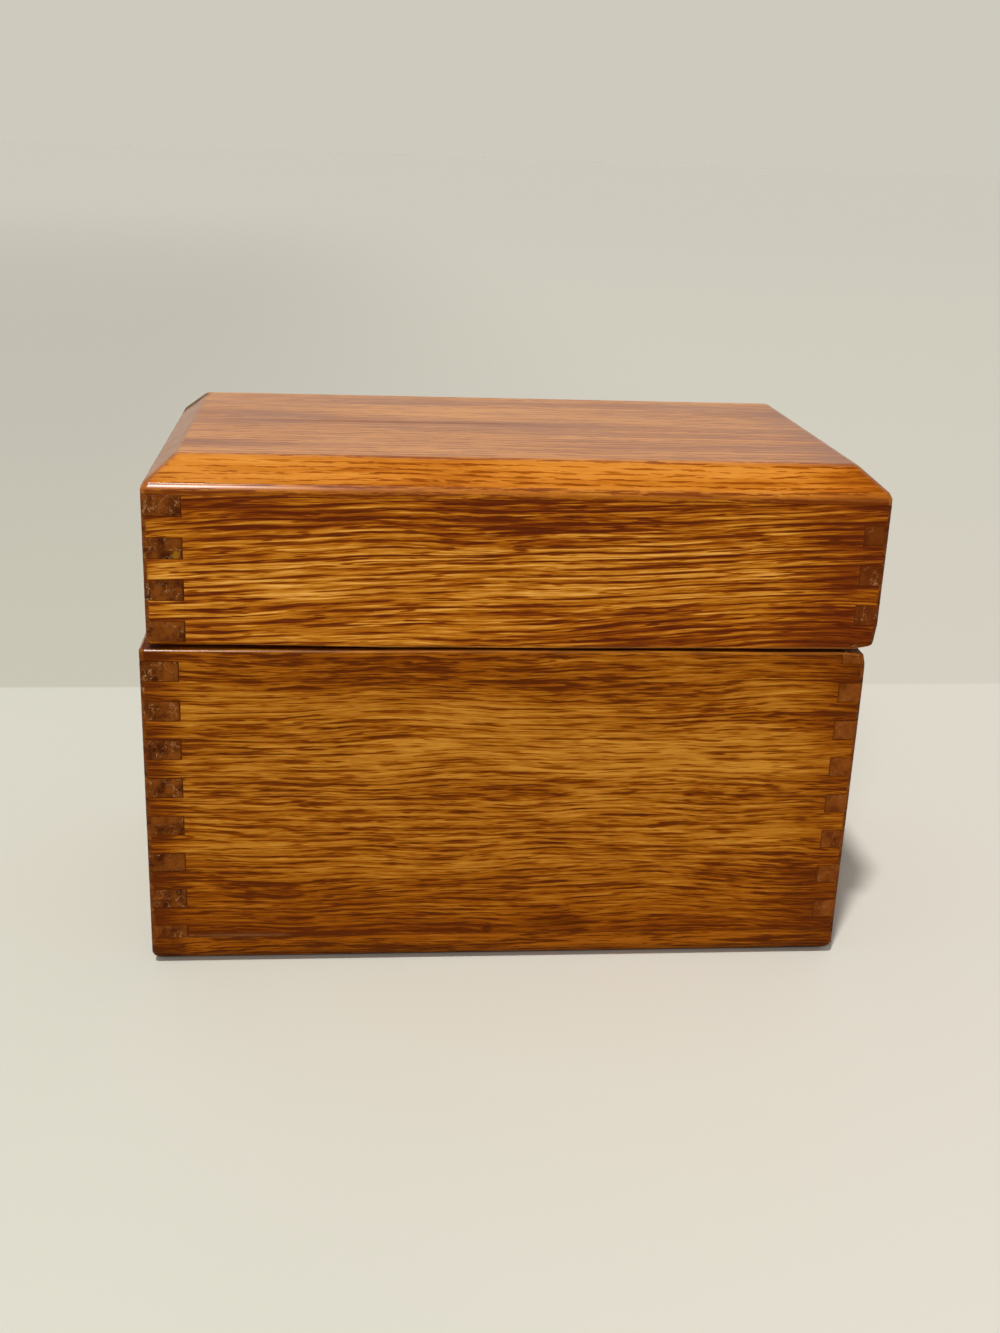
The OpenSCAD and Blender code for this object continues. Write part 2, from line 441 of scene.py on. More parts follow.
# %% Rounding and carving
def round_over(test, radius, steps, profile=0.5):
    """Rounds the edges that pass the test; a profile below 0.5 is flatter in its middle."""
    count = choose("EDGE", test)
    if count:
        bpy.ops.mesh.bevel(
            offset=radius, segments=steps, profile=profile, affect="EDGES", clamp_overlap=False
        )
    return count


def carve(piece, cutter):
    """Cuts the cutter's shape out of the piece and throws the cutter away."""
    pick(piece)
    cut = piece.modifiers.new("cut", "BOOLEAN")
    cut.object = cutter
    cut.operation = "DIFFERENCE"
    cut.solver = "EXACT"
    bpy.ops.object.modifier_apply(modifier=cut.name)
    bpy.data.objects.remove(cutter)


def ease_edges(piece, width, sharp=40):
    """Takes the sharpness off every edge over that many degrees, and shades the result."""
    pick(piece)
    arris = piece.modifiers.new("arris", "BEVEL")
    arris.width = width
    arris.segments = 2
    arris.limit_method = "ANGLE"
    arris.angle_limit = math.radians(sharp)
    bpy.ops.object.modifier_apply(modifier=arris.name)
    bpy.ops.object.shade_smooth_by_angle(angle=math.radians(46))
    weighted = piece.modifiers.new("weighted", "WEIGHTED_NORMAL")
    weighted.keep_sharp = True
    bpy.ops.object.modifier_apply(modifier=weighted.name)


print("plane and chisel ready")

# %% [markdown]
# ## Marking the faces
#
# The finish needs to know a few things about each face. How much does it show the
# end of the grain, which drinks more stain and is darker? Is it a rounded arris,
# where varnish is rubbed thin, or a joint line, where dirt stays and the shade of
# the groove is painted darker? Is it inside the box? How much gloss is left on it?
# Is it the flat of the top, which is painted a little darker as shade, or an upright
# side of the lid? The answers follow from the face's place and direction. They are
# worked out once and stored on the mesh as attributes that the material reads.


# %% What a face is
def part_way(value, low, high):
    """0 below low, 1 above high, and in even steps between them."""
    return min(max((value - low) / (high - low), 0), 1)


along_x, along_y, upward = Vector((1, 0, 0)), Vector((0, 1, 0)), Vector((0, 0, 1))
slope = Vector((0, -bevel_drop, bevel_w)).normalized()
flat_ways = [along_x, along_y, upward]
for x, y in ((0, slope.y), (0, -slope.y), (slope.y, 0), (-slope.y, 0)):
    flat_ways.append(Vector((x, y, slope.z)))


def is_curved(way):
    """Does the face look another way than every flat side and bevel of the box?"""
    return max(abs(way.dot(flat)) for flat in flat_ways) < 0.995


def is_inside(point):
    between = left_x < point.x < right_x and front_y < point.y < back_y
    return between and bottom_t < point.z < wall_top


def varnish(way, curved, above, rim, corner, bare):
    """How much gloss varnish a face carries, from 0 to 1."""
    if bare:
        return 0.0
    if curved and way.z > 0.2 and (rim or (above and way.z < 0.76)) and not corner:
        return 1.0
    if above and way.z > 0.8:
        return 0.7
    if above and way.z > 0.5:
        return 0.7 if abs(way.x) > 0.5 else 0.2
    return 0.06


print("a bevel looks up at", round(math.degrees(math.asin(slope.z)), 1), "degrees")


# %% Marks for one board
CLOSE = 0.3 * MM


def marks_of(way, at, grain):
    """All marks of a face that looks that way, at that place on the closed box."""
    curved = is_curved(way)
    near_corner = corner_r + 0.05 * MM
    corner = abs(at.x) > half_w - near_corner and abs(at.y) > half_d - near_corner
    rim = min(abs(at.z - seam_z), abs(at.z - lid_z)) < rim_r + 0.1 * MM
    above = at.z > wall_top + CLOSE
    foot = at.z < foot_end_r + 0.2 * MM
    under_top = abs(at.z - wall_top) < CLOSE
    # Joint faces are the fine grooves between fingers: their darker tone is dirt, and painted shade
    # of the groove.
    joint = curved and not (corner or rim or foot or above or under_top)
    inside = is_inside(at + way * CLOSE)
    return {
        "end_grain": part_way(abs(way.dot(grain)), 0.05, 0.35),
        "rub": float(curved and rim),
        "joint": float(joint),
        "inside": float(inside),
        # Painted shade: the flat of the top is drawn a little darker than its bevels.
        "flat": float(above) * part_way(way.z, 0.8, 0.98),
        "upright": float(at.z > seam_z) * part_way(0.6 - way.z, 0, 0.5),
        "gloss": varnish(way, curved, above, rim, corner, inside or joint),
    }


def mark_faces(piece, grain, shift):
    """Stores the marks of every face; shift is how far the board is hung to the right."""
    faces = piece.data.polygons
    rows = [marks_of(face.normal, face.center - Vector((shift, 0, 0)), grain) for face in faces]
    for name in rows[0]:
        values = [row[name] for row in rows]
        piece.data.attributes.new(name, "FLOAT", "FACE").data.foreach_set("value", values)
    return [sum(row[name] > 0.5 for row in rows) for name in ("end_grain", "joint")]


print("face marks ready")

# %% [markdown]
# ## The walls
#
# A wall is a block between the other two walls, with fingers pulled out of its ends.
# The block is sawn at the heights of its fingers, the end faces of those rows are
# chosen and extruded, and the saw lines that are left on flat faces are dissolved.
# Modelling the fingers for real, a hair apart, gives the joints their fine lines
# from any angle, which a drawn line would not.


# %% Fingers
def finger_rows(first, low, high):
    """Bottom and top of each finger in every second row, between two heights."""
    rows = []
    for row in range(first, row_count, 2):
        bottom = max(wall_top - (row + 1) * finger_h + glue / 2, low)
        top = min(wall_top - row * finger_h - glue / 2, high)
        if top > bottom:
            rows.append((bottom, top))
    return rows


def pull_fingers(rows, axis, at, length, low, high):
    """Saws the block at the rows and pulls the end faces at that place outwards."""
    for bottom, top in rows:
        for cut in (bottom, top):
            if low + TINY < cut < high - TINY:
                saw((0, 0, cut), (0, 0, 1))

    def is_finger(face):
        centre = face.calc_center_median()
        at_end = near(centre[axis], at) and abs(face.normal[axis]) > 0.99
        return at_end and any(bottom < centre.z < top for bottom, top in rows)

    choose("FACE", is_finger)
    move = [0, 0, 0]
    move[axis] = length
    bpy.ops.mesh.extrude_region_move(TRANSFORM_OT_translate={"value": move})


def outer(point):
    """Is the point on the outline of the box, seen from above?"""
    side = near(abs(point.x), half_w) or near(abs(point.y), half_d)
    reach = corner_r + 0.01 * MM
    corner = abs(point.x) > half_w - reach and abs(point.y) > half_d - reach
    return side or corner


def round_wall(name, rim_z):
    """Rounds the wall's upright corners and then its outer rim at the seam."""

    def upright(edge):
        a, b = ends(edge)
        at_corner = near(abs(a.x), half_w) and near(abs(a.y), half_d)
        return at_corner and near(a.x, b.x) and near(a.y, b.y)

    def rim(edge):
        a, b = ends(edge)
        return near(a.z, rim_z) and near(b.z, rim_z) and outer(a) and outer(b)

    corners = round_over(upright, corner_r, 6)
    rims = round_over(rim, rim_r, 4)
    print(name, "has", corners, "finger corners and", rims, "rim edges rounded")


# %% Long walls and end walls
def long_wall(name, low_y, high_y, low, high, rim_z):
    """A wall along X, with fingers in the odd rows at the left and the even rows at the right."""
    wall = saw_block(name, (left_x + glue, low_y, low), (right_x - glue, high_y, high))
    on_bench(wall)
    pull_fingers(finger_rows(1, low, high), 0, left_x + glue, -left_t - glue, low, high)
    pull_fingers(finger_rows(0, low, high), 0, right_x - glue, right_t + glue, low, high)
    flush()
    round_wall(name, rim_z)
    off_bench()
    return wall


def end_wall(name, first, low_x, high_x, low, high, rim_z):
    """A wall along Y, with fingers in every second row from the first one."""
    wall = saw_block(name, (low_x, front_y + glue, low), (high_x, back_y - glue, high))
    on_bench(wall)
    rows = finger_rows(first, low, high)
    pull_fingers(rows, 1, front_y + glue, -front_t - glue, low, high)
    pull_fingers(rows, 1, back_y - glue, back_t + glue, low, high)
    flush()
    round_wall(name, rim_z)
    off_bench()
    return wall


boards = {}
halves = (("base", bottom_t + glue, seam_z, seam_z), ("lid", lid_z, wall_top - glue, lid_z))
for half, low, high, rim_z in halves:
    boards[half + "_front"] = long_wall(half + "_front_board", -half_d, front_y, low, high, rim_z)
    boards[half + "_back"] = long_wall(half + "_back_board", back_y, half_d, low, high, rim_z)
    boards[half + "_left"] = end_wall(half + "_left_board", 0, -half_w, left_x, low, high, rim_z)
    boards[half + "_right"] = end_wall(half + "_right_board", 1, right_x, half_w, low, high, rim_z)

# %% [markdown]
# ## The bottom and top boards
#
# The bottom board is a block whose lower arris is rounded, more so at the two ends.
# Its front and back faces are drawn in and out in small steps, which rounds them all
# round, and the board is then sawn flat at the height of the walls. The top board is
# raised from a thin block: its upper face is pulled up and drawn in, which leaves the
# four bevels, and then the mitres, the shoulder below the bevels and the crown above
# them are rounded one after the other.


# %% Bottom board
foot_steps, foot_end_steps = 5, 8
spare_z = bottom_t + 3 * MM
low, high = (-half_w, foot_r - half_d, 0), (half_w, half_d - foot_r, spare_z)
bottom = saw_block("base_bottom_board", low, high)
on_bench(bottom)
round_over(
    lambda edge: all(near(abs(p.x), half_w) and near(p.z, 0) for p in ends(edge)),
    foot_end_r,
    foot_end_steps,
)
for side in (-1, 1):
    choose("FACE", lambda face: face.normal.y * side > 0.99)
    for step in range(foot_steps):
        start, stop = (math.pi / 2 * (step + n) / foot_steps for n in (0, 1))
        drawn_in, out = math.cos(start) - math.cos(stop), math.sin(stop) - math.sin(start)
        bpy.ops.mesh.inset(thickness=foot_r * drawn_in, depth=foot_r * out)
bpy.ops.mesh.select_all(action="SELECT")
bpy.ops.mesh.bisect(
    plane_co=(0, 0, bottom_t), plane_no=(0, 0, 1), use_fill=True, clear_outer=True, threshold=TINY
)
off_bench()
boards["base_bottom"] = bottom
print("bottom board:", len(bottom.data.polygons), "faces")

# %% Top board
shoulder_z = box_h - bevel_drop
shoulder_r, shoulder_profile = 0.94 * MM, 0.36
crown_r = 0.9 * MM
top = saw_block("lid_top_board", (-half_w, -half_d, wall_top), (half_w, half_d, shoulder_z))
on_bench(top)
choose("FACE", lambda face: face.normal.z > 0.99)
bpy.ops.mesh.extrude_region_move(TRANSFORM_OT_translate={"value": (0, 0, bevel_drop)})
draw_in = (1 - bevel_w / half_w, 1 - bevel_w / half_d, 1)
bpy.ops.transform.resize(value=draw_in, center_override=(0, 0, box_h))
off_bench()
print("top board:", len(top.data.polygons), "faces before rounding")


# %% Rounding of the top board
def mitre_or_corner(edge):
    """The four upright corners and the four mitres that carry on from them."""
    a, b = ends(edge)
    upright = near(a.x, b.x) and near(a.y, b.y)
    mitre = not near(a.x, b.x) and not near(a.y, b.y) and not near(a.z, b.z)
    return upright or mitre


def shoulder(edge):
    a, b = ends(edge)
    return near(a.z, shoulder_z) and near(b.z, shoulder_z)


def crown(edge):
    a, b = ends(edge)
    level = [abs(face.normal.z) > 0.999 for face in edge.link_faces]
    return near(a.z, box_h) and near(b.z, box_h) and any(level) and not all(level)


on_bench(top)
print(round_over(mitre_or_corner, corner_r, 6), "corners and mitres,", end=" ")
print(round_over(shoulder, shoulder_r, 7, shoulder_profile), "shoulder edges,", end=" ")
print(round_over(crown, crown_r, 5), "crown edges rounded")
off_bench()
boards["lid_top"] = top

# %% [markdown]
# ## Mortises for the hinges
#
# Each hinge leaf lies in a shallow mortise in the back wall's edge at the seam, and
# its two screws go on into holes in the wood. For each leaf a block and four
# cylinders are cut out of the wall, with Boolean modifiers that are applied at once.
# Every place is measured from the hinge's axis, which lies behind the back wall at
# the height of the seam.

# %% Mortises
axis_y, axis_z = half_d + 2.1 * MM, (seam_z + lid_z) / 2
leaf_gap, leaf_t, leaf_wide = 0.35 * MM, 0.9 * MM, 8.25 * MM
hinge_x, leaf_half = 46 * MM, 12.85 * MM
screw_x, screw_y = 7.5 * MM, 5.1 * MM
screw_holes = (
    ("pilot", 6.6 * MM, 11 * MM, 1.05 * MM),
    ("countersink", 0.9 * MM, 0.9 * MM, 1.8 * MM),
)


def drill(name, at, deep, radius):
    """An upright peg where a hole is to be, for carving."""
    bpy.ops.object.select_all(action="DESELECT")
    bpy.ops.mesh.primitive_cylinder_add(vertices=24, radius=radius, depth=deep, location=at)
    bpy.ops.object.transform_apply(location=True, rotation=False, scale=False)
    peg = bpy.context.object
    peg.name = name
    return peg


def let_in(wall, middle, sign):
    """Makes room for one leaf and its two screws; sign is -1 in the base and 1 in the lid."""
    floor_z, open_z = axis_z + sign * (leaf_gap + leaf_t), axis_z - sign * 2 * MM
    low = (middle - leaf_half, axis_y - leaf_wide, min(floor_z, open_z))
    high = (middle + leaf_half, half_d + MM, max(floor_z, open_z))
    carve(wall, saw_block("mortise", low, high))
    for screw in (-screw_x, screw_x):
        for name, away, deep, radius in screw_holes:
            at = (middle + screw, axis_y - screw_y, axis_z + sign * away)
            carve(wall, drill(name, at, deep, radius))


for half, sign, hung in (("base", -1, 0.0), ("lid", 1, lid_shift)):
    wall = boards[half + "_back"]
    for side in (-1, 1):
        let_in(wall, side * hinge_x - hung, sign)
    print(half, "back wall has", len(wall.data.polygons), "faces after carving")

# %% [markdown]
# ## Wear
#
# The rims at the seam wander a little, as a hand-guided saw leaves them, and the
# lid's front rim rises at its left end, where the seam is widest. At the right end
# of the seam the corners of lid and base are knocked in. The points of the mesh are
# moved for this: at a worn corner the most at the corner itself, and along the rims
# by a slow wave.


# %% Worn corners
def knock(board, corner, reach, push):
    """Pushes the board's points near a corner inwards, most at the corner itself."""
    on_bench(board)
    mesh = board.data
    work = bmesh.from_edit_mesh(mesh)
    for point in work.verts:
        amount = 1 - (point.co - Vector(corner)).length / reach
        if amount > 0:
            point.co += Vector(push) * amount
    bmesh.update_edit_mesh(mesh)
    off_bench()


for name in ("base_front", "base_right"):
    knock(boards[name], (half_w, -half_d, seam_z), 3 * MM, (-0.7 * MM, 0.5 * MM, -0.9 * MM))
for name in ("lid_front", "lid_right"):
    knock(boards[name], (half_w, -half_d, lid_z), 3.5 * MM, (-0.6 * MM, 0.4 * MM, 0.9 * MM))
print("two corners are worn at the right end of the seam")

# %% Wave of the saw
rim_reach = 0.55 * MM
saw_stops = (-64, -52, -40, -28, -16, -4, 8, 20, 32, 44, 56, 66)


def wave(x, seed):
    """How far a hand-guided saw cut wanders from its line."""
    bend = math.sin(x * 61 + seed) + 0.6 * math.sin(x * 143 + 2.1 * seed)
    return 0.06 * MM * bend


def wander(board, rim_z, seed, rise_left):
    """Gives the long edges at the seam a few more corners and moves them a little."""
    on_bench(board)
    for x in saw_stops:
        saw((x * MM, 0, 0), (1, 0, 0))
    work = bmesh.from_edit_mesh(board.data)
    for corner in work.verts:
        if abs(corner.co.z - rim_z) < rim_reach:
            fade = min((half_w - abs(corner.co.x)) / (12 * MM), 1)
            lift = rise_left * part_way(-corner.co.x, 34 * MM, 68 * MM)
            corner.co.z += wave(corner.co.x, seed) * fade + lift
    bmesh.update_edit_mesh(board.data)
    off_bench()


wander(boards["base_front"], seam_z, 1.3, 0.0)
wander(boards["lid_front"], lid_z, 4.4, left_rise)
on_bench(boards["lid_left"])
choose("VERT", lambda point: point.co.z < lid_z + rim_reach and point.co.y < 0)
bpy.ops.transform.translate(value=(0, 0, left_rise))
off_bench()
print("the lid's rim rises by", left_rise / MM, "mm at its left end")

# %% [markdown]
# ## Easing and placing the boards
#
# Every edge that is still sharp loses its sharpness, which also gives each joint a
# fine groove. The lid's boards then move to their place, because the lid is hung a
# little to the right of the base. The faces get their marks, each board is told
# which body it rides on, and the CAD solid it stands for is hidden.


# %% Ease and place the boards
def keep_size(board):
    """Presses points that the easing has left a few microns proud back onto the faces."""
    for point in board.data.vertices:
        point.co.x = min(max(point.co.x, -half_w), half_w)
        point.co.y = min(max(point.co.y, -half_d), half_d)


def slide(board, shift):
    on_bench(board)
    bpy.ops.mesh.select_all(action="SELECT")
    bpy.ops.transform.translate(value=(shift, 0, 0))
    off_bench()


for name, board in boards.items():
    flat_board = name in ("lid_top", "base_bottom")
    ease_edges(board, 0.06 * MM if flat_board else 0.11 * MM)
    keep_size(board)
    body, shift = ("lid", lid_shift) if name.startswith("lid") else ("base", 0.0)
    if shift:
        slide(board, shift)
    grain = along_y if name.endswith(("left", "right")) else along_x
    end_faces, joint_faces = mark_faces(board, grain, shift)
    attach(board, body)
    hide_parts(name)
    print(name, "has", end_faces, "faces of end grain and", joint_faces, "in joints")

# %% [markdown]
# ## Oak under varnish
#
# Oak shows rows of open pores that run along the grain and fill with dark stain.
# The material is solid: it is defined at every point inside the board, so the end
# of a board shows the same grain cut across. The point's place is first turned into
# millimetres with the grain along the first axis, and then bent slowly, as a tree
# grows.
#
# How dark the wood is at a point is one number. Fibres, growth rings and slow
# drifts from board edge to board edge are noises drawn out along the grain, and
# they add up to it. A row of five stain tones, from a pale fibre to a filled pore,
# then turns the number into a colour. Painting this way keeps the look in a few
# readable tones, which a picture of real oak would not.


# %% Noises along the grain
def drawn_out(tree, vector, length, width, detail, seed):
    """A noise around 0 that is long along the grain and narrow across it."""
    scale = (1 / length, 1 / width, 1 / width)
    way = stretch(tree, vector, scale, (seed * 7.3, seed * 3.1, seed * 5.7))
    return maths(tree, "SUBTRACT", noise(tree, way, detail, 0.6), 0.5)


def bend(tree, vector, length, width, by, seed):
    """Pushes every point across the grain by up to a few tenths of that distance."""
    lean = times(tree, drawn_out(tree, vector, length, width, 1, seed), by)
    push = tree.nodes.new("ShaderNodeCombineXYZ")
    feed(tree, push.inputs[1], times(tree, lean, 0.4))
    feed(tree, push.inputs[2], lean)
    moved = tree.nodes.new("ShaderNodeVectorMath")
    feed(tree, moved.inputs[0], vector)
    feed(tree, moved.inputs[1], push.outputs[0])
    return moved.outputs[0]


def ring_wave(tree, bent, look, seed):
    """Goes from -1 to 1 and back once a year: 1 is the porous wood of spring."""
    heart = how_far(tree, stretch(tree, bent, (look["taper"], 1, 1), (0, *look["heart"])))
    uneven = drawn_out(tree, bent, 60, 5, 2, seed)
    years = add_up(tree, [(uneven, look["uneven"]), (heart, 1 / look["ring"])])
    return maths(tree, "COSINE", times(tree, years, 2 * math.pi))


def far_from(tree, value, middle, reach):
    """0 at the middle and 1 at that distance from it, growing ever faster."""
    off = maths(tree, "DIVIDE", maths(tree, "SUBTRACT", value, middle), reach)
    return times(tree, off, off)


print("grain noises ready")


# %% How dark the grain is
def pore_rows(tree, bent, drift, seed, look):
    """Dashes of pores, 0 to 1, which crowd together in the spring wood of each ring."""
    years = ring_wave(tree, bent, look, seed)
    dashes = drawn_out(tree, bent, *look["dash"], 2, seed + 0.7)
    rows = add_up(tree, [(years, look["regular"]), (drift, 0.3), (dashes, 1)])
    return rise(tree, rows, look["cut"], look["cut"] + look["soft"])


def single_pores(tree, bent, drift, seed, look):
    """A few dark pores that stand alone, 0 to 1."""
    pores = drawn_out(tree, bent, *look["pores"], 1, seed + 0.9)
    pores = add_up(tree, [(drift, 0.4), (pores, 1)])
    return rise(tree, pores, look["sparse"], look["sparse"] + 0.12)


def grain_dark(tree, grown, seed, look):
    """How dark the long grain is, around 0.5; the flat of the top is painted a little darker as
    shade.
    """
    bent = bend(tree, grown, 60, 18, look["sweep"], seed + 0.2)
    bent = bend(tree, bent, 14, 4, look["ripple"], seed + 0.5)
    axes = split(tree, grown)
    along, height = axes[0], axes[2]
    drift = drawn_out(tree, bent, 90, 9, 3, seed + 0.4)
    rows = maths(tree, "SUBTRACT", pore_rows(tree, bent, drift, seed, look), 0.35)
    terms = [
        (drawn_out(tree, bent, *look["long"], 4, seed + 0.1), look["contrast"]),
        (drawn_out(tree, bent, *look["short"], 3, seed + 0.3), look["contrast"] * 0.6),
        (rows, look["rows"]),
        (single_pores(tree, bent, drift, seed, look), look["accent"]),
        (drift, look["drift"]),
        (far_from(tree, height, *look["middle"]), look["edge_dark"]),
        (rise(tree, along, 55, 76), look["right_dark"]),
        (rise(tree, along, -76, -66, 1, 0), look["left_dark"]),
        # Painted shade on the flat of the top.
        (note(tree, "flat"), 0.1),
        (0.5 + look["offset"], 1),
    ]
    return add_up(tree, terms)


print("long grain ready")

# %% Tones of the grain
TONE_PLACES = {"glint": 0.24, "pale": 0.409, "amber": 0.5, "deep": 0.591, "pore": 0.76}


def tone_row(tree, dark, look):
    """The board's five tones, from a pale fibre to a pore filled with stain."""
    return ramp(tree, dark, [(place, look[tone]) for tone, place in TONE_PLACES.items()])


def cross_cut(tree, grown, look):
    """The end of the grain: dark and cloudy, with a few pale hair scratches."""
    cloud = noise(tree, stretch(tree, grown, (0.1, 0.35, 0.35)), 4, 0.6)
    cross = ramp(tree, cloud, [(0.34, look["end_dark"]), (0.62, look["end"])])
    line = noise(tree, stretch(tree, grown, (0.3, 0.5, 0.5)), 3)
    line = maths(tree, "ABSOLUTE", maths(tree, "SUBTRACT", line, 0.5))
    patch = rise(tree, noise(tree, stretch(tree, grown, (0.2, 0.4, 0.4), (9, 4, 2)), 1), 0.44, 0.58)
    hair = times(tree, rise(tree, line, 0.0, 0.018, 1, 0), patch)
    return mix(tree, times(tree, hair, 0.6), cross, look["scratch"])


print("a look has", len(TONE_PLACES), "tones of long grain")

# %% [markdown]
# ## Marks of use and painted shade
#
# A mark is a spot with a place and a size in millimetres, a strength and a tone. A
# noise makes its edge ragged. A spot also takes the gloss off the varnish, as a dent
# does. The box has a dark mitre at the back left of its top, worn and with painted
# shade of the rounded mitre, a dark streak on the top, a scuff and two stains near
# the foot, and a yellow drop on one finger.


# %% Spots
def add_spots(tree, place, grown, colour, shine, spots):
    """Lays the spots over the colour and dulls the shine under them."""
    for centre, size, strength, tone in spots:
        scale = [1000 / width for width in size]
        shift = [-at / width for at, width in zip(centre, size)]
        off = how_far(tree, stretch(tree, place, scale, shift))
        wobble = noise(tree, stretch(tree, grown, (0.3, 0.9, 0.9)), 3)
        reach = add_up(tree, [(wobble, 1.2), (off, 1)])
        colour = mix(tree, rise(tree, reach, 1.1, 1.9, strength, 0), colour, tone)
        shine = times(tree, shine, rise(tree, reach, 1.1, 1.9, 1 - strength))
    return colour, shine


# A dark patch on the back-left mitre: wear, and painted shade of the rounded mitre.
worn_and_shaded_mitre = [
    ((-74.2 + d, 40.2 - d, 106.9 + 0.83 * d), (2.4, 6.5, 3), 0.9, paint(104, 68, 34))
    for d in (0, 1.6, 3.2, 4.8)
]
dark_streak = ((-22, 1, 112), (32, 0.8, 4), 0.5, paint(142, 66, 0))
scuff = ((-57, -43.4, 6.8), (11, 3, 0.5), 0.1, paint(206, 164, 112))
small_stain = ((-3, -43.4, 7.8), (1.3, 3, 0.9), 0.7, paint(70, 26, 0))
long_stain = ((12.5, -43.4, 9), (8, 3, 1), 0.5, paint(70, 26, 0))
yellow_drop = ((-67.9, -43.4, 92.5), (0.8, 3, 0.9), 0.55, paint(176, 126, 26))
print("the worn mitre is", len(worn_and_shaded_mitre), "spots that overlap")

# %% [markdown]
# ## One board's finish
#
# The layers go on as on the real board: the grain's tones, the dark end grain, the
# marks of use, dirt in the joints with painted shade of their grooves, rubbed edges
# and the paler, unvarnished inside.
# The gloss is a coat over the wood, and it lies where the faces were marked for it.

# %% Oak
VARNISH = {"Coat Roughness": 0.2, "Coat IOR": 1.55, "Specular IOR Level": 0.02}
bare_oak = paint(196, 150, 96)


def oak_colour(tree, grown, dark, look):
    """The tones of long grain and end grain, without marks."""
    colour = tone_row(tree, dark, look)
    if "side_look" in look:
        colour = mix(tree, note(tree, "upright"), colour, tone_row(tree, dark, look["side_look"]))
    return mix(tree, note(tree, "end_grain"), colour, cross_cut(tree, grown, look))


def oak_relief(tree, grown, dark, look):
    """The open grain under the soft skin of the varnish."""
    normal = relief(tree, times(tree, dark, -1), look["relief"])
    skin = noise(tree, stretch(tree, grown, (0.12, 0.3, 0.3)), 2)
    return relief(tree, skin, 0.12 * MM, over=normal)


def oak(name, turn, seed, look):
    """A board's finish: turn lays the grain along it, and seed makes its grain its own."""
    finish, tree, shader = new_finish(name, VARNISH)
    place = object_place(tree)
    grown = stretch(tree, place, (1000, 1000, 1000), turn=turn)
    dark = grain_dark(tree, grown, seed, look)
    colour = oak_colour(tree, grown, dark, look)
    colour, shine = add_spots(tree, place, grown, colour, note(tree, "gloss"), look["spots"])
    # Dirt and painted shade of the grooves in the joints.
    colour = mix(tree, times(tree, note(tree, "joint"), 0.55), colour, look["pore"])
    colour = mix(tree, times(tree, note(tree, "rub"), 0.15), colour, look["glint"])
    inside = note(tree, "inside")
    colour = mix(tree, times(tree, inside, 0.35), colour, bare_oak)
    feed(tree, shader.inputs["Base Color"], colour)
    feed(tree, shader.inputs["Coat Weight"], shine)
    rough = rise(tree, noise(tree, place, 3, scale=60), 0.3, 0.7, 0.38, 0.5)
    feed(tree, shader.inputs["Roughness"], add_up(tree, [(inside, 0.2), (rough, 1)]))
    feed(tree, shader.inputs["Normal"], oak_relief(tree, grown, dark, look))
    return finish


print("oak ready, its varnish has", VARNISH)

# %% [markdown]
# ## The looks of the boards
#
# A look is a list of named values, with lengths in millimetres.
#
# - sweep and ripple: how far the grain bends, slowly and quickly.
# - taper, heart, ring, uneven: how the growth rings narrow along the board, where
#   their middle is, how thick a year is and how much that changes.
# - dash, regular, cut, soft, rows: length and width of a dash of pores, how strictly
#   the dashes follow the rings, where they start, how softly, and how dark they are.
# - pores, sparse, accent: the same for pores that stand alone.
# - long, short, contrast: length and width of the fibres, and how much they show.
# - drift: slow changes from one side of the board to the other.
# - middle, edge_dark, right_dark, left_dark, offset: where the board is palest with
#   the distance to its edge, and how much darker the edges, ends and the whole are.
# - relief: how deep the grain can be felt.
# - spots: the marks of use, one of them with painted shade. side_look: other tones for the top
#   board's upright sides.
#
# The tones follow, from glint to pore, and those of the end grain. Each board has its
# own seed, so that no two boards repeat each other. The front boards' seeds were
# picked because their grain runs most like the real one.

# %% Look of the lid's walls
lid_look = {
    "sweep": 5.0,
    "ripple": 0.5,
    "taper": 0.02,
    "heart": (-20, 160),
    "ring": 1.5,
    "uneven": 1.6,
    "dash": (13, 0.45),
    "regular": 0.13,
    "cut": -0.02,
    "soft": 0.22,
    "rows": 0.27,
    "pores": (7, 0.5),
    "sparse": 0.11,
    "accent": 0.22,
    "long": (28, 0.6),
    "short": (6, 0.25),
    "contrast": 0.78,
    "drift": 0.34,
    "middle": (89, 17),
    "edge_dark": 0.13,
    "right_dark": 0.18,
    "left_dark": 0.1,
    "offset": 0.005,
    "relief": 0.12 * MM,
    "glint": paint(236, 172, 80),
    "pale": paint(190, 120, 26),
    "amber": paint(160, 88, 8),
    "deep": paint(126, 57, 2),
    "pore": paint(90, 32, 2),
    "end": paint(124, 65, 14),
    "end_dark": paint(68, 25, 0),
    "scratch": paint(180, 136, 90),
    "spots": [],
}
print("a look of oak has", len(lid_look), "values")

# %% Look of the base's walls
base_look = lid_look | {
    "sweep": 6.0,
    "ripple": 0.8,
    "heart": (-30, -120),
    "ring": 1.2,
    "dash": (9, 0.42),
    "regular": 0.08,
    "soft": 0.17,
    "pores": (6, 0.4),
    "sparse": 0.12,
    "accent": 0.25,
    "long": (20, 0.65),
    "short": (5, 0.35),
    "contrast": 0.66,
    "drift": 0.42,
    "middle": (43, 27),
    "edge_dark": 0.15,
    "left_dark": 0.26,
    "offset": -0.06,
    "glint": paint(198, 134, 44),
    "pale": paint(166, 100, 18),
    "amber": paint(147, 80, 4),
    "deep": paint(126, 61, 0),
    "pore": paint(90, 36, 0),
}
changed = [key for key in lid_look if base_look[key] != lid_look[key]]
print("the base differs from the lid in", len(changed), "values")

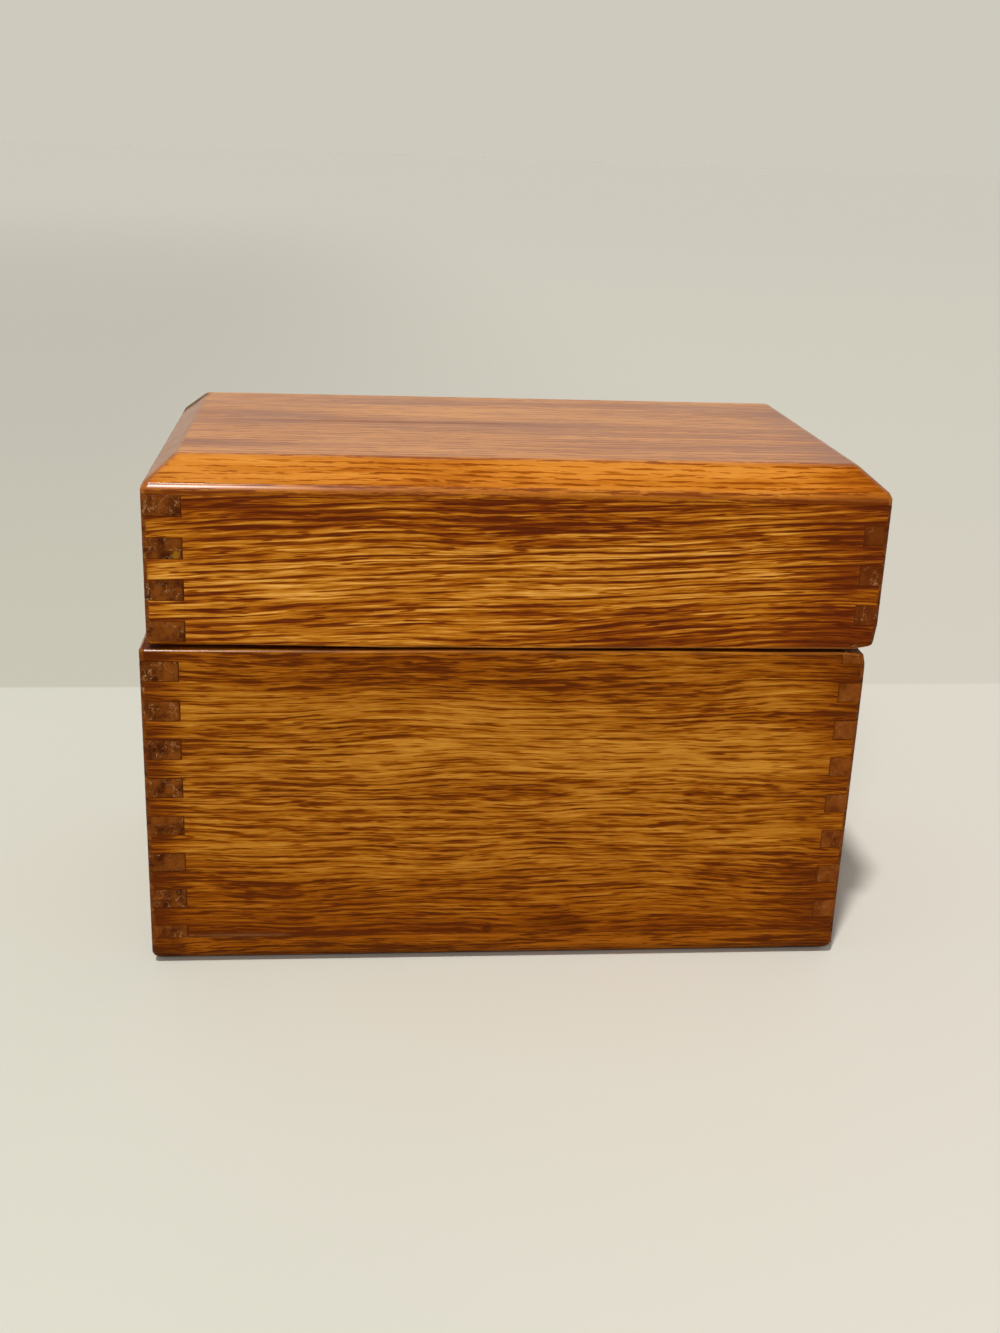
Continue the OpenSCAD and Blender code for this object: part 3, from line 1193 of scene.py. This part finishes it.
# %% Looks of the top and bottom boards
bottom_look = base_look | {
    "middle": (38, 100),
    "glint": paint(170, 100, 24),
    "pale": paint(154, 84, 8),
    "amber": paint(138, 72, 0),
    "deep": paint(116, 56, 0),
    "pore": paint(86, 36, 0),
    "spots": [scuff],
}
top_look = lid_look | {
    "dash": (6, 0.35),
    "cut": 0.06,
    "soft": 0.08,
    "rows": 0.28,
    "accent": 0.0,
    "long": (40, 1.3),
    "short": (6, 0.5),
    "contrast": 0.55,
    "drift": 0.9,
    "middle": (0, 60),
    "edge_dark": 0.05,
    "offset": 0.02,
    "relief": 0.04 * MM,
    "glint": paint(216, 142, 56),
    "pale": paint(204, 127, 42),
    "amber": paint(195, 117, 30),
    "deep": paint(176, 97, 14),
    "pore": paint(138, 66, 0),
    "end": paint(168, 99, 40),
    "end_dark": paint(136, 74, 22),
    "side_look": lid_look | {"deep": paint(146, 80, 12), "pore": paint(114, 50, 4)},
    "spots": worn_and_shaded_mitre + [dark_streak],
}
print("the grain of the top is", round(top_look["relief"] / MM, 2), "mm deep")

# %% Finish the boards
flat, standing, endwise, rising = (90, 0, 0), (0, 0, 0), (0, 0, 90), (0, 2.3, 0)
base_right_ends = {
    "end": paint(130, 69, 17),
    "end_dark": paint(94, 40, 2),
    "scratch": paint(156, 104, 60),
}
lid_right_ends = {"end": paint(110, 52, 8), "end_dark": paint(88, 36, 2)}
looks = {
    "base_front": (standing, 24, base_look | {"spots": [scuff, small_stain, long_stain]}),
    "base_back": (standing, 2, base_look),
    "base_left": (endwise, 3, base_look),
    "base_right": (endwise, 4, base_look | base_right_ends),
    "base_bottom": (flat, 5, bottom_look),
    "lid_front": (rising, 45, lid_look),
    "lid_back": (standing, 7, lid_look),
    "lid_left": (endwise, 8, lid_look | {"spots": [yellow_drop]}),
    "lid_right": (endwise, 9, lid_look | lid_right_ends),
    "lid_top": (flat, 10, top_look),
}
for name, (turn, seed, look) in looks.items():
    boards[name].data.materials.append(oak("oak_" + name, turn, seed, look))
print(len(looks), "boards finished")

# %% [markdown]
# ## Hinges and screws
#
# The hinges are small pressed brass butts. Their CAD solids already have the right
# leaves, knuckles, pins and slotted screws, so a copy of each mesh is merged and
# its edges are eased. The brass has dulled: it has brushed lines along the hinge and
# brown tarnish in patches.


# %% Brass
def brass(name, bright, dull, rough):
    """Metal brushed along X, with brown tarnish that is rougher than the bright part."""
    finish, tree, shader = new_finish(name, {"Metallic": 1.0})
    place = object_place(tree)
    brush = noise(tree, stretch(tree, place, (150, 9000, 9000)), 2)
    tarnish = rise(tree, noise(tree, place, 4, 0.6, scale=420), 0.42, 0.64)
    colour = mix(tree, times(tree, tarnish, 0.75), bright, dull)
    colour = mix(tree, times(tree, brush, 0.3), colour, dull)
    feed(tree, shader.inputs["Base Color"], colour)
    roughness = maths(tree, "ADD", times(tree, tarnish, 0.25), rough)
    feed(tree, shader.inputs["Roughness"], roughness)
    feed(tree, shader.inputs["Normal"], relief(tree, brush, 0.01 * MM))
    return finish


metals = {
    "leaf": ("hinge_brass", brass("hinge_brass", paint(214, 178, 104), paint(134, 100, 50), 0.28)),
    "pin": ("pin_brass", brass("pin_brass", paint(196, 164, 104), paint(120, 94, 54), 0.34)),
    "screws": ("screw_brass", brass("screw_brass", paint(206, 172, 106), paint(118, 88, 46), 0.3)),
}
print(len(metals), "kinds of brass")


# %% Refine the hinge parts
def refine(node, width):
    """A merged copy of a CAD node's mesh with its edges eased."""
    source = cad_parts[node]
    piece = bpy.data.objects.new(node + "_brass", source.data.copy())
    bpy.context.scene.collection.objects.link(piece)
    piece.data.materials.clear()
    on_bench(piece)
    bpy.ops.mesh.select_all(action="SELECT")
    bpy.ops.mesh.remove_doubles(threshold=TINY)
    flush()
    off_bench()
    ease_edges(piece, width, sharp=35)
    return piece


for node in sorted(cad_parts):
    kind = node.rsplit("_", 1)[-1]
    if kind in metals:
        piece = refine(node, 0.06 * MM)
        slot, metal = metals[kind]
        piece.data.materials.append(metal)
        body = "lid" if "_lid_" in node else "base"
        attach(piece, body)
        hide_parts(node)
        print(piece.name, len(piece.data.polygons), "faces, rides on", body)
